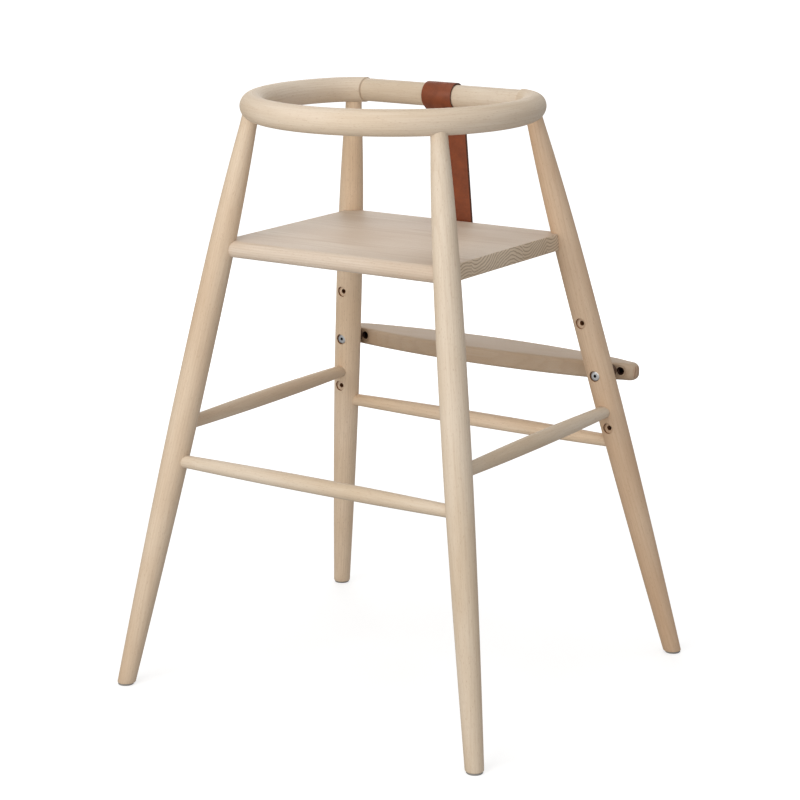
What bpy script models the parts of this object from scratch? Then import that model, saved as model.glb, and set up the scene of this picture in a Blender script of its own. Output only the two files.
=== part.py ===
"""Baby high chair: four splayed turned legs, a bent ring closed by a straight bar, a seat board let into
the legs, four turned stretchers, a footrest bolted in front, and a leather strap from the bar to the seat.

Metres, +Z up. The child looks along -Y and the child's left hand is at +X. The origin is on the floor,
under the middle of the chair. Turned pieces lie along their own Z axis. The origin of a piece that moves is
on its joint's axis.
"""

import math

import bmesh
import bpy
from mathutils import Matrix, Vector

# Overall sizes
CHAIR_HEIGHT = 0.780
FRONT_FOOT_X = 0.2775
REAR_FOOT_X = 0.272
FOOT_Y = 0.255

# Fits
GAP = 0.0003
SLIDE_GAP = 0.0003

# Bent ring: a wide back arc and two tighter arcs that turn in to the bar
RING_R = 0.0165
RING_ARC_R = 0.178
RING_CENTRE_Y = 0.0226
RING_ARC_END = math.radians(29.5)
RING_TIGHT_R = 0.068
RING_TIGHT_TURN = math.radians(38.6)
RING_Z = CHAIR_HEIGHT - RING_R

# Safety bar and the steel dowel pins in its ends
BAR_R = 0.0151
BAR_CHAMFER = 0.0008
PIN_R = 0.004
PIN_IN_RING = 0.013
PIN_IN_BAR = 0.022
PIN_SPARE = 0.001

# Legs: turned, thickest at LEG_BELLY_Z
LEG_BELLY_R = 0.018
LEG_FOOT_R = 0.01175
LEG_TOP_R = 0.0104
LEG_BELLY_Z = 0.37
LEG_FOOT_TAPER = 1.5
LEG_TOP_TAPER = 3.2
REAR_LEG_ANGLE = math.radians(38.6)
FRONT_LEG_ANGLE = math.radians(54.4)
FRONT_LEG_OUTSET = 0.002
FOOT_CHAMFER = 0.0015
TENON_R = 0.007
TENON_WALL = 0.0015

# Glides under the feet
GLIDE_R = 0.0105
GLIDE_HEIGHT = 0.0025
GLIDE_CHAMFER = 0.0006

# Seat board, bull-nosed in front and behind
SEAT_TOP_Z = 0.594
SEAT_THICKNESS = 0.022
SEAT_SIDE_INSET = 0.002
SEAT_REAR_INSET = 0.005
SEAT_FRONT_INSET = 0.006

# Stretchers: turned, slightly thicker in the middle
STRETCHER_END_R = 0.0084
STRETCHER_MIDDLE_R = 0.01025
STRETCHER_PAST_AXIS = 0.003
STRETCHER_SHOULDER = 0.003
CROSS_STRETCHER_Z = 0.3055
SIDE_STRETCHER_Z = 0.3515

# Footrest holes in the front legs
HOLE_MIDDLE_Z = 0.401
HOLE_PITCH = 0.0725
COUNTERBORE_R = 0.00725
COUNTERBORE_DEPTH = 0.005

# Bolts
BOLT_R = 0.003
BOLT_HEAD_R = 0.0065
BOLT_HEAD_THICKNESS = 0.0018
BOLT_HEAD_CHAMFER = 0.0006
BOLT_HEX_ACROSS = 0.004
BOLT_HEX_DEPTH = 0.0032

# Footrest: a lens with round ends
FOOTREST_THICKNESS = 0.0235
FOOTREST_EDGE_R = 0.004
FOOTREST_DEPTH = 0.075
FOOTREST_DROP = 0.0013
FOOTREST_STANDOFF = 0.0055
FOOTREST_SAGITTA = 0.020
FOOTREST_OVERHANG = 0.034
POCKET_LENGTH = 0.046
POCKET_HEIGHT = 0.020
POCKET_DEPTH = 0.0025
INSERT_WOOD = 0.0024
INSERT_LENGTH = 0.012
INSERT_SINK = 0.0012
INSERT_HOLE_SPARE = 0.002
SPACER_R = 0.009

# Leather strap, folded over the bar and screwed under the seat
STRAP_WIDTH = 0.0445
STRAP_THICKNESS = 0.0022
STRAP_BAR_GAP = 0.0004
STRAP_JOIN_DROP = 0.040
STRAP_TAIL = 0.028
SCREW_SPACING = 0.024
SCREW_R = 0.00175
SCREW_HEAD_R = 0.004
SCREW_HEAD_THICKNESS = 0.0022
SCREW_HEAD_FLAT_R = 0.0028
SCREW_LENGTH = 0.016
SCREW_FROM_TAIL_END = 0.010

# Facets
LEG_SIDES = 18
LEG_RINGS_BELOW = 6
LEG_RINGS_ABOVE = 7
LEG_BUNCHING = 0.8
RING_SIDES = 16
RING_BACK_STEPS = 34
RING_TIGHT_STEPS = 6
ROD_SIDES = 14
BORE_SIDES = 12
NOSE_STEPS = 6
SLOT_STEPS = 6
FOOTREST_ARC_STEPS = 10
FOOTREST_END_STEPS = 8

STRETCHER_STEPS = 8

SIDES = (("left", 1), ("right", -1))
CUT_REACH = 0.02
LEG_SPARE = 0.005
Y_AXIS = Vector((0, 1, 0))
Z_AXIS = Vector((0, 0, 1))
# Puts an outline's X and Y along the chair's Y and Z, and its depth along X
SECTION = Matrix(((0, 0, 1, 0), (1, 0, 0, 0), (0, 1, 0, 0), (0, 0, 0, 1)))


def clear_scene():
    for obj in list(bpy.data.objects):
        bpy.data.objects.remove(obj)


def material(name, colour, roughness, metallic=0.0):
    made = bpy.data.materials.new(name)
    made.use_nodes = True
    shader = made.node_tree.nodes["Principled BSDF"]
    shader.inputs["Base Color"].default_value = (*colour, 1)
    shader.inputs["Roughness"].default_value = roughness
    shader.inputs["Metallic"].default_value = metallic
    return made


def add_mesh(name, shape, finish=None, place=None):
    """Makes an object from a bmesh. Without a finish it is a cutter, which stays out of renders."""
    bmesh.ops.recalc_face_normals(shape, faces=shape.faces)
    mesh = bpy.data.meshes.new(name)
    shape.to_mesh(mesh)
    shape.free()
    obj = bpy.data.objects.new(name, mesh)
    bpy.context.scene.collection.objects.link(obj)
    if place is not None:
        obj.matrix_world = place
    if finish is None:
        obj.hide_render = True
        obj.display_type = "WIRE"
    else:
        mesh.materials.append(finish)
        mesh.shade_smooth()
        mesh.set_sharp_from_angle(angle=math.radians(35))
    return obj


def boolean(target, other, operation="DIFFERENCE"):
    step = target.modifiers.new(f"{operation} {other.name}", "BOOLEAN")
    step.object = other
    step.operation = operation
    step.solver = "EXACT"


def along(start, towards):
    """The placement that puts a piece's origin at start and its Z axis along the line to the other point."""
    turn = (towards - start).to_track_quat("Z", "Y").to_matrix().to_4x4()
    return Matrix.Translation(start) @ turn


def turned_shape(profile, sides):
    """A solid turned about Z from (height, radius) pairs."""
    shape = bmesh.new()
    first, last = profile[0][0], profile[-1][0]
    points = [(first, 0.0), *profile, (last, 0.0)]
    verts = [shape.verts.new((radius, 0, height)) for height, radius in points]
    edges = [shape.edges.new(pair) for pair in zip(verts, verts[1:])]
    bmesh.ops.spin(
        shape, geom=verts + edges, axis=(0, 0, 1), cent=(0, 0, 0), steps=sides, angle=math.tau
    )
    bmesh.ops.remove_doubles(shape, verts=shape.verts, dist=1e-6)
    return shape


def turned(name, profile, sides, place, finish=None):
    return add_mesh(name, turned_shape(profile, sides), finish, place)


def rod(name, start, end, radius, sides=BORE_SIDES, finish=None):
    length = (end - start).length
    return turned(name, [(0, radius), (length, radius)], sides, along(start, end), finish)


def prism(name, outline, low, high, place=None, finish=None):
    """A solid with this outline in its XY plane, from the low to the high Z."""
    shape = bmesh.new()
    face = shape.faces.new([shape.verts.new((x, y, low)) for x, y in outline])
    grown = bmesh.ops.extrude_face_region(shape, geom=[face])
    top = [item for item in grown["geom"] if isinstance(item, bmesh.types.BMVert)]
    bmesh.ops.translate(shape, vec=(0, 0, high - low), verts=top)
    return add_mesh(name, shape, finish, place)


def cut_flat(shape, point, normal):
    """Cuts away what lies beyond a plane, closes the cut, and gives back the new rim's edges."""
    geom = shape.verts[:] + shape.edges[:] + shape.faces[:]
    found = bmesh.ops.bisect_plane(
        shape, geom=geom, plane_co=point, plane_no=normal, clear_outer=True, dist=1e-7
    )
    rim = [item for item in found["geom_cut"] if isinstance(item, bmesh.types.BMEdge)]
    bmesh.ops.contextual_create(shape, geom=rim)
    return rim


def arc(centre, radius, start, end, steps):
    """Points on a circle from one angle to another, both included."""
    turns = [start + (end - start) * step / steps for step in range(steps + 1)]
    return [(centre[0] + radius * math.cos(t), centre[1] + radius * math.sin(t)) for t in turns]


# ---- Lines that several pieces share


def tight_arc_centre(side):
    """The centre of the ring's tighter arc on one side, in plan."""
    reach = RING_ARC_R - RING_TIGHT_R
    x = side * reach * math.cos(RING_ARC_END)
    return x, RING_CENTRE_Y - reach * math.sin(RING_ARC_END)


def ring_end_x():
    return tight_arc_centre(1)[0] + RING_TIGHT_R * math.cos(RING_ARC_END + RING_TIGHT_TURN)


def bar_y():
    return tight_arc_centre(1)[1] - RING_TIGHT_R * math.sin(RING_ARC_END + RING_TIGHT_TURN)


def leg_ends(end, side):
    """Where a leg's axis meets the floor and the ring's middle height."""
    if end == "rear":
        foot = Vector((side * REAR_FOOT_X, FOOT_Y, 0))
        x = side * RING_ARC_R * math.cos(REAR_LEG_ANGLE)
        return foot, Vector((x, RING_CENTRE_Y + RING_ARC_R * math.sin(REAR_LEG_ANGLE), RING_Z))
    centre_x, centre_y = tight_arc_centre(side)
    reach = RING_TIGHT_R + FRONT_LEG_OUTSET
    x = centre_x + side * reach * math.cos(FRONT_LEG_ANGLE)
    y = centre_y - reach * math.sin(FRONT_LEG_ANGLE)
    return Vector((side * FRONT_FOOT_X, -FOOT_Y, 0)), Vector((x, y, RING_Z))


def leg_point(end, side, height):
    foot, top = leg_ends(end, side)
    return foot.lerp(top, height / RING_Z)


def leg_radius(height):
    top = RING_Z - RING_R
    if height < LEG_BELLY_Z:
        thin = max(0.0, (LEG_BELLY_Z - height) / LEG_BELLY_Z) ** LEG_FOOT_TAPER
        return LEG_BELLY_R - (LEG_BELLY_R - LEG_FOOT_R) * thin
    thin = ((height - LEG_BELLY_Z) / (top - LEG_BELLY_Z)) ** LEG_TOP_TAPER
    return LEG_BELLY_R - (LEG_BELLY_R - LEG_TOP_R) * thin


def leg_half_depth(height):
    """Half of a front leg's depth along Y at a height, where its axis leans."""
    foot, top = leg_ends("front", 1)
    lean = (top - foot).normalized().y
    return leg_radius(height) / math.sqrt(1 - lean**2)


def tenon_top_z():
    return RING_Z - PIN_R - TENON_WALL


def ring_path():
    """Plan points on the ring's middle line, each with its angle, from past one end to past the other."""
    past = RING_TIGHT_STEPS + 2
    turn = RING_TIGHT_TURN / RING_TIGHT_STEPS
    sweep = math.pi + 2 * RING_ARC_END
    parts = []
    for step in range(-past, 0):
        parts.append((*tight_arc_centre(1), RING_TIGHT_R, step * turn - RING_ARC_END))
    for step in range(RING_BACK_STEPS + 1):
        parts.append((0, RING_CENTRE_Y, RING_ARC_R, sweep * step / RING_BACK_STEPS - RING_ARC_END))
    for step in range(1, past + 1):
        parts.append((*tight_arc_centre(-1), RING_TIGHT_R, math.pi + RING_ARC_END + step * turn))
    return [(x + r * math.cos(a), y + r * math.sin(a), a) for x, y, r, a in parts]


def ring_rod(name, radius, finish=None):
    """The bent rod, bridged from one circle to the next. Its ends run past the bar's ends."""
    shape = bmesh.new()
    loops = []
    for x, y, angle in ring_path():
        upright = Matrix.Rotation(math.pi / 2, 4, "X")
        place = Matrix.Translation((x, y, RING_Z)) @ Matrix.Rotation(angle, 4, "Z") @ upright
        made = bmesh.ops.create_circle(shape, segments=RING_SIDES, radius=radius, matrix=place)
        loops.append(list({edge for vert in made["verts"] for edge in vert.link_edges}))
    for one, other in zip(loops, loops[1:]):
        bmesh.ops.bridge_loops(shape, edges=one + other)
    bmesh.ops.holes_fill(shape, edges=shape.edges, sides=RING_SIDES)
    return add_mesh(name, shape, finish)


def leg_shape(end, side, grow=0.0):
    """A turned leg before its joints are cut, cut level at the foot, and its placement."""
    foot, top = leg_ends(end, side)
    place = along(foot, top)
    stretch = (top - foot).length / RING_Z
    low, high = -LEG_SPARE, RING_Z - LEG_SPARE
    heights = [low + (LEG_BELLY_Z - low) * step / LEG_RINGS_BELOW for step in range(LEG_RINGS_BELOW)]
    for step in range(LEG_RINGS_ABOVE + 1):
        heights.append(LEG_BELLY_Z + (high - LEG_BELLY_Z) * (step / LEG_RINGS_ABOVE) ** LEG_BUNCHING)
    profile = [(height * stretch, leg_radius(min(height, RING_Z - RING_R)) + grow) for height in heights]
    shape = turned_shape(profile, LEG_SIDES)
    into_leg = place.inverted()
    sole = into_leg @ Vector((foot.x, foot.y, GLIDE_HEIGHT + GAP))
    rim = cut_flat(shape, sole, into_leg.to_3x3() @ -Z_AXIS)
    if not grow:
        bmesh.ops.bevel(shape, geom=rim, offset=FOOT_CHAMFER, segments=1, affect="EDGES")
    return shape, place


def rear_edge(x):
    """The footrest's rear edge, in plan: an arc through the three points that its sizes give."""
    bolt_x = leg_point("front", 1, HOLE_MIDDLE_Z).x
    bend = (bolt_x**2 + FOOTREST_SAGITTA**2) / (2 * FOOTREST_SAGITTA)
    at_bolt = leg_point("front", 1, HOLE_MIDDLE_Z).y - leg_half_depth(HOLE_MIDDLE_Z) - FOOTREST_STANDOFF
    return at_bolt + FOOTREST_SAGITTA - bend + math.sqrt(bend**2 - x**2), bend


def footrest_outline():
    """A lens of two equal arcs, with round ends that touch both."""
    bolt_x = leg_point("front", 1, HOLE_MIDDLE_Z).x
    rear_y, bend = rear_edge(0)
    half_depth = FOOTREST_DEPTH / 2
    middle_y = rear_y - half_depth
    half_length = bolt_x + FOOTREST_OVERHANG
    end_r = (2 * bend * half_depth - half_length**2 - half_depth**2) / (2 * (bend - half_length))
    end_x = half_length - end_r
    meet = math.atan2(bend - half_depth, end_x)
    rear = arc((0, middle_y + half_depth - bend), bend, math.pi - meet, meet, FOOTREST_ARC_STEPS)
    left_end = arc((end_x, middle_y), end_r, meet, -meet, FOOTREST_END_STEPS)
    half = rear + left_end[1:-1]
    return half + [(-x, 2 * middle_y - y) for x, y in half]


def pocket_place(side):
    """On the footrest's rear edge at the bolt, with Z pointing into the board and X along the edge."""
    bolt_x = leg_point("front", 1, HOLE_MIDDLE_Z).x
    edge_y, bend = rear_edge(bolt_x)
    slope = bolt_x / math.sqrt(bend**2 - bolt_x**2)
    run = Vector((1, -side * slope, 0)).normalized()
    into = run.cross(Z_AXIS)
    turn = Matrix((run, Z_AXIS, into)).transposed().to_4x4()
    return Matrix.Translation((side * bolt_x, edge_y, HOLE_MIDDLE_Z)) @ turn


def pocket_floor_y(side, x):
    """Where the pocket's floor is at an x."""
    place = pocket_place(side)
    floor = place @ Vector((0, 0, POCKET_DEPTH))
    into = place.to_3x3() @ Z_AXIS
    return floor.y - (x - floor.x) * into.x / into.y


def strap_outlines():
    """The strap's section in the YZ plane: its outside, and the opening that holds the bar."""
    nose = Vector((seat_nose_y("front"), seat_middle_z()))
    bar = Vector((bar_y(), RING_Z))
    nose_r = SEAT_THICKNESS / 2 + GAP
    bar_r = BAR_R + STRAP_BAR_GAP
    run = bar - nose
    outside = nose_r + 2 * STRAP_THICKNESS
    lean = math.atan2(run.y, run.x) + math.acos((outside - bar_r - STRAP_THICKNESS) / run.length)
    reach = math.hypot(bar_r, STRAP_JOIN_DROP)
    leave = lean + 2 * math.acos(bar_r / reach) - math.tau
    front = Vector((math.cos(lean), math.sin(lean)))
    back = Vector((math.cos(leave), math.sin(leave)))
    front_line = nose.dot(front) + nose_r
    back_line = bar.dot(back) + bar_r
    meet_inside = crossing(front, front_line + STRAP_THICKNESS, back, back_line)
    meet_outside = crossing(front, front_line, back, back_line + STRAP_THICKNESS)
    tail_y = nose.x + STRAP_TAIL
    down = 1.5 * math.pi
    outline = [(tail_y, nose.y - outside)]
    outline += arc(nose, outside, down, lean, NOSE_STEPS)
    outline += arc(bar, bar_r + STRAP_THICKNESS, lean, leave, 2 * NOSE_STEPS)
    outline += [meet_outside]
    outline += arc(nose, nose_r, lean, down, NOSE_STEPS)
    outline += [(tail_y, nose.y - nose_r)]
    return outline, arc(bar, bar_r, lean, leave, 2 * NOSE_STEPS) + [meet_inside]


def crossing(normal, offset, other_normal, other_offset):
    """Where two lines in a plane meet, each given by its normal and its distance from the origin."""
    across = normal.cross(other_normal)
    x = (offset * other_normal.y - other_offset * normal.y) / across
    return x, (other_offset * normal.x - offset * other_normal.x) / across


def seat_middle_z():
    return SEAT_TOP_Z - SEAT_THICKNESS / 2


def seat_half_width():
    z = seat_middle_z()
    return (leg_point("front", 1, z).x + leg_point("rear", 1, z).x) / 2 - SEAT_SIDE_INSET


def seat_nose_y(end):
    """The middle of the seat's rounded front or rear edge."""
    if end == "rear":
        return leg_point("rear", 1, seat_middle_z()).y - SEAT_REAR_INSET
    return leg_point("front", 1, seat_middle_z()).y + SEAT_FRONT_INSET


def seat_solid(name, grow, finish=None):
    nose_r = SEAT_THICKNESS / 2 + grow
    quarter = math.pi / 2
    front = arc((seat_nose_y("front"), seat_middle_z()), nose_r, quarter, 3 * quarter, NOSE_STEPS)
    rear = arc((seat_nose_y("rear"), seat_middle_z()), nose_r, -quarter, quarter, NOSE_STEPS)
    half_width = seat_half_width() + grow
    return prism(name, front + rear, -half_width, half_width, SECTION, finish)


def stretcher_ends(node):
    """The middle line of a stretcher, which stops just past the axes of the two legs it joins."""
    if node in ("front", "rear"):
        one, other = (leg_point(node, side, CROSS_STRETCHER_Z) for side in (-1, 1))
    else:
        side = dict(SIDES)[node]
        one, other = (leg_point(end, side, SIDE_STRETCHER_Z) for end in ("front", "rear"))
    past = (other - one).normalized() * STRETCHER_PAST_AXIS
    return one - past, other + past


def screw_points():
    """Where the strap's screws start, at the underside of the leather."""
    z = seat_middle_z() - SEAT_THICKNESS / 2 - GAP - 2 * STRAP_THICKNESS - GAP
    y = seat_nose_y("front") + STRAP_TAIL - SCREW_FROM_TAIL_END
    return {name: Vector((side * SCREW_SPACING / 2, y, z)) for name, side in SIDES}


# ---- Pieces


def make_ring(wood):
    ring = ring_rod("top_ring", RING_R, wood)
    half_gap = ring_end_x()
    reach = RING_R + CUT_REACH
    y = bar_y()
    box = [(-half_gap, y - reach), (half_gap, y - reach), (half_gap, y + reach), (-half_gap, y + reach)]
    boolean(ring, prism("ring_front_gap", box, RING_Z - reach, RING_Z + reach))
    return ring


def make_bar(wood):
    reach = ring_end_x() - GAP
    start = Vector((-reach, bar_y(), RING_Z))
    length = 2 * reach
    small = BAR_R - BAR_CHAMFER
    profile = [(0, small), (BAR_CHAMFER, BAR_R), (length - BAR_CHAMFER, BAR_R), (length, small)]
    return turned("safety_bar", profile, RING_SIDES, along(start, start + Vector((length, 0, 0))), wood)


def make_pins(ring, bar, steel):
    for name, side in SIDES:
        joint = Vector((side * ring_end_x(), bar_y(), RING_Z))
        out = Vector((side, 0, 0))
        rod(f"bar_pin_{name}", joint - out * PIN_IN_BAR, joint + out * PIN_IN_RING, PIN_R, finish=steel)
        bore = rod(
            f"bar_pin_{name}_bore",
            joint - out * (PIN_IN_BAR + PIN_SPARE),
            joint + out * (PIN_IN_RING + PIN_SPARE),
            PIN_R + GAP,
        )
        boolean(ring, bore)
        boolean(bar, bore)


def make_legs(ring, wood):
    legs = {}
    ring_room = ring_rod("ring_room", RING_R + GAP)
    for end in ("front", "rear"):
        for name, side in SIDES:
            shape, place = leg_shape(end, side)
            leg = add_mesh(f"leg_{end}_{name}", shape, wood, place)
            low = leg_point(end, side, RING_Z - RING_R - CUT_REACH)
            high = leg_point(end, side, tenon_top_z())
            boolean(leg, ring_room)
            boolean(leg, rod(f"tenon_{end}_{name}", low, high, TENON_R), "UNION")
            past = (high - low).normalized() * GAP
            boolean(ring, rod(f"mortise_{end}_{name}", low, high + past, TENON_R + GAP))
            legs[end, side] = leg
    return legs


def make_glides(grey):
    small = GLIDE_R - GLIDE_CHAMFER
    profile = [(0, small), (GLIDE_CHAMFER, GLIDE_R), (GLIDE_HEIGHT, GLIDE_R)]
    for end in ("front", "rear"):
        for name, side in SIDES:
            foot = leg_point(end, side, 0)
            turned(f"foot_glide_{end}_{name}", profile, LEG_SIDES, Matrix.Translation(foot), grey)


def make_seat(legs, wood):
    room = seat_solid("seat_room", GAP)
    for leg in legs.values():
        boolean(leg, room)
    return seat_solid("seat_board", 0.0, wood)


def make_stretchers(legs, wood):
    joined = {
        "front": [("front", -1), ("front", 1)],
        "rear": [("rear", -1), ("rear", 1)],
        "left": [("front", 1), ("rear", 1)],
        "right": [("front", -1), ("rear", -1)],
    }
    swell = STRETCHER_MIDDLE_R - STRETCHER_END_R
    for name, ends in joined.items():
        start, stop = stretcher_ends(name)
        length = (stop - start).length
        plain = STRETCHER_PAST_AXIS + LEG_BELLY_R + STRETCHER_SHOULDER
        profile = [(0, STRETCHER_END_R)]
        for step in range(STRETCHER_STEPS + 1):
            share = step / STRETCHER_STEPS
            radius = STRETCHER_END_R + swell * (1 - (2 * share - 1) ** 2)
            profile.append((plain + (length - 2 * plain) * share, radius))
        profile.append((length, STRETCHER_END_R))
        turned(f"stretcher_{name}", profile, ROD_SIDES, along(start, stop), wood)
        past = (stop - start).normalized() * GAP
        room = rod(f"stretcher_{name}_room", start - past, stop + past, STRETCHER_END_R + GAP, ROD_SIDES)
        for leg in ends:
            boolean(legs[leg], room)


def hole_point(side, height):
    """Where a bolt's head sits: the floor of a counterbore, on the rear of a front leg."""
    axis = leg_point("front", side, height)
    return axis + Y_AXIS * (leg_half_depth(height) - COUNTERBORE_DEPTH)


def make_leg_holes(legs):
    for name, side in SIDES:
        leg = legs["front", side]
        for step, place in ((-1, "low"), (0, "middle"), (1, "high")):
            seat = hole_point(side, HOLE_MIDDLE_Z + step * HOLE_PITCH)
            behind = seat + Y_AXIS * CUT_REACH
            through = seat - Y_AXIS * (2 * LEG_BELLY_R + CUT_REACH)
            boolean(leg, rod(f"counterbore_{place}_{name}", behind, seat, COUNTERBORE_R, ROD_SIDES))
            boolean(leg, rod(f"bolt_hole_{place}_{name}", behind, through, BOLT_R + SLIDE_GAP))


def insert_radius():
    """Half of what the spacing of the three inserts leaves between them, after the wood that parts them."""
    low, high = (leg_point("front", 1, HOLE_MIDDLE_Z + step * HOLE_PITCH) for step in (0, 1))
    return (abs(low.x - high.x) - INSERT_WOOD) / 2


def insert_face_y(side, x):
    """The rear face of an insert, sunk below the pocket's sloping floor."""
    return pocket_floor_y(side, x) - INSERT_SINK


def make_bolts(steel):
    for name, side in SIDES:
        seat = hole_point(side, HOLE_MIDDLE_Z) + Y_AXIS * GAP
        tip_y = insert_face_y(side, seat.x) - INSERT_LENGTH
        rim = BOLT_HEAD_R - BOLT_HEAD_CHAMFER
        profile = [
            (-BOLT_HEAD_THICKNESS, rim),
            (BOLT_HEAD_CHAMFER - BOLT_HEAD_THICKNESS, BOLT_HEAD_R),
            (0, BOLT_HEAD_R),
            (0, BOLT_R),
            (seat.y - tip_y, BOLT_R),
        ]
        bolt = turned(f"footrest_bolt_{name}", profile, BORE_SIDES, along(seat, seat - Y_AXIS), steel)
        face = seat + Y_AXIS * BOLT_HEAD_THICKNESS
        corner = BOLT_HEX_ACROSS / 2 / math.cos(math.pi / 6)
        hex_floor = face - Y_AXIS * BOLT_HEX_DEPTH
        boolean(bolt, rod(f"hex_{name}", face + Y_AXIS * CUT_REACH, hex_floor, corner, 6))


def make_footrest(wood, black, rubber):
    low = HOLE_MIDDLE_Z - FOOTREST_DROP - FOOTREST_THICKNESS / 2
    board = prism("footrest_board", footrest_outline(), low, low + FOOTREST_THICKNESS, finish=wood)
    round_over = board.modifiers.new("Rounded edges", "BEVEL")
    round_over.width = FOOTREST_EDGE_R
    round_over.segments = 2
    round_over.limit_method = "ANGLE"
    round_over.angle_limit = math.radians(60)
    end_r = POCKET_HEIGHT / 2
    straight = POCKET_LENGTH / 2 - end_r
    quarter = math.pi / 2
    slot = arc((straight, 0), end_r, -quarter, quarter, SLOT_STEPS)
    slot += arc((-straight, 0), end_r, quarter, 3 * quarter, SLOT_STEPS)
    for name, side in SIDES:
        place = pocket_place(side)
        boolean(board, prism(f"pocket_{name}", slot, -CUT_REACH, POCKET_DEPTH, place))
        for step, where in ((-1, "outer"), (0, "middle"), (1, "inner")):
            x = leg_point("front", side, HOLE_MIDDLE_Z + step * HOLE_PITCH).x
            face = Vector((x, insert_face_y(side, x), HOLE_MIDDLE_Z))
            end = face - Y_AXIS * INSERT_LENGTH
            reach = Y_AXIS * CUT_REACH
            insert = rod(f"footrest_insert_{name}_{where}", face, end, insert_radius(), finish=black)
            boolean(insert, rod(f"thread_{name}_{where}", face + reach, end - reach, BOLT_R + SLIDE_GAP))
            bottom = end - Y_AXIS * INSERT_HOLE_SPARE
            room = insert_radius() + GAP
            boolean(board, rod(f"insert_hole_{name}_{where}", face + reach, bottom, room))
        make_spacer(name, side, place, rubber)


def make_spacer(name, side, place, rubber):
    """A round washer: hollowed to fit the leg on one face, flat on the pocket's floor on the other."""
    axis = leg_point("front", side, HOLE_MIDDLE_Z)
    far = Vector((axis.x, place.translation.y - CUT_REACH, HOLE_MIDDLE_Z))
    spacer = rod(f"footrest_spacer_{name}", axis, far, SPACER_R, LEG_SIDES, rubber)
    shape, leg_place = leg_shape("front", side, GAP)
    boolean(spacer, add_mesh(f"leg_room_{name}", shape, None, leg_place))
    reach = POCKET_LENGTH
    square = [(-reach, -reach), (reach, -reach), (reach, reach), (-reach, reach)]
    boolean(spacer, prism(f"pocket_floor_{name}", square, POCKET_DEPTH - GAP, 2 * CUT_REACH, place))
    reach = Y_AXIS * CUT_REACH
    boolean(spacer, rod(f"spacer_bore_{name}", axis + reach, far - reach, BOLT_R + SLIDE_GAP))


def make_strap(seat, leather, steel):
    outline, opening = strap_outlines()
    half = STRAP_WIDTH / 2
    strap = prism("safety_strap", outline, -half, half, SECTION, leather)
    boolean(strap, prism("strap_opening", opening, -STRAP_WIDTH, STRAP_WIDTH, SECTION))
    for name, start in screw_points().items():
        profile = [
            (-SCREW_HEAD_THICKNESS, SCREW_HEAD_FLAT_R),
            (-SCREW_HEAD_THICKNESS / 2, SCREW_HEAD_R),
            (0, SCREW_HEAD_R),
            (0, SCREW_R),
            (SCREW_LENGTH, SCREW_R),
        ]
        turned(f"strap_screw_{name}", profile, BORE_SIDES, Matrix.Translation(start), steel)
        end = start + Z_AXIS * (SCREW_LENGTH + GAP)
        bore = rod(f"screw_hole_{name}", start - Z_AXIS * GAP, end, SCREW_R + GAP)
        boolean(strap, bore)
        boolean(seat, bore)


def main():
    clear_scene()
    wood = material("soaped beech", (0.62, 0.47, 0.32), 0.55)
    leather = material("cognac leather", (0.27, 0.075, 0.025), 0.5)
    steel = material("zinc plated steel", (0.62, 0.62, 0.63), 0.3, 1.0)
    black = material("blackened steel insert", (0.03, 0.025, 0.022), 0.5, 1.0)
    rubber = material("black plastic spacer", (0.025, 0.022, 0.02), 0.6)
    grey = material("grey glide", (0.34, 0.33, 0.32), 0.6)
    ring = make_ring(wood)
    bar = make_bar(wood)
    make_pins(ring, bar, steel)
    legs = make_legs(ring, wood)
    make_glides(grey)
    seat = make_seat(legs, wood)
    make_stretchers(legs, wood)
    make_leg_holes(legs)
    make_bolts(steel)
    make_footrest(wood, black, rubber)
    make_strap(seat, leather, steel)


main()
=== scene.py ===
"""Looks for the baby high chair: turned beech, a bent ring, a leather strap and plated steel.

Metres, +Z up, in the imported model's own frame. Each shown piece is modelled by hand with
Blender's operators and stands for one plain solid of the model."""

import math

import bpy
from mathutils import Matrix, Vector


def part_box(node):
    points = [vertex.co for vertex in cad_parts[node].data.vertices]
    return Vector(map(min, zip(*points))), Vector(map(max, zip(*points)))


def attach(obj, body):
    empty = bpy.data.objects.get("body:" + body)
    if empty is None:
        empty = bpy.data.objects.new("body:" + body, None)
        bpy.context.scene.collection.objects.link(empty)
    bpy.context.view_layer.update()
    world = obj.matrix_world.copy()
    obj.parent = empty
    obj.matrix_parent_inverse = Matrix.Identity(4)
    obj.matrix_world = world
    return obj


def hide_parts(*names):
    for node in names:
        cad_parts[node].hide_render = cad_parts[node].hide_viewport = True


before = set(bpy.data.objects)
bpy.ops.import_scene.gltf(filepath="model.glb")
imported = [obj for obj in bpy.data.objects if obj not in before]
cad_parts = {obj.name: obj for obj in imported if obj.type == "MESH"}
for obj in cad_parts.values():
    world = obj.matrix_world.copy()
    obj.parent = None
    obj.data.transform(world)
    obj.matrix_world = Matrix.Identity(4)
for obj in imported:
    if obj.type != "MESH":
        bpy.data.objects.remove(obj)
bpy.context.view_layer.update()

Y_AXIS = Vector((0, 1, 0))
Z_AXIS = Vector((0, 0, 1))
SIDES = (("left", 1), ("right", -1))
ENDS = ("front", "rear")
QUARTER = math.pi / 2

# A glued joint's gap, how far a cutter reaches past its piece, and how close counts as touching
JOINT_GAP = 0.00012
PAST = 0.02
TOUCHING = 1e-5

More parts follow.
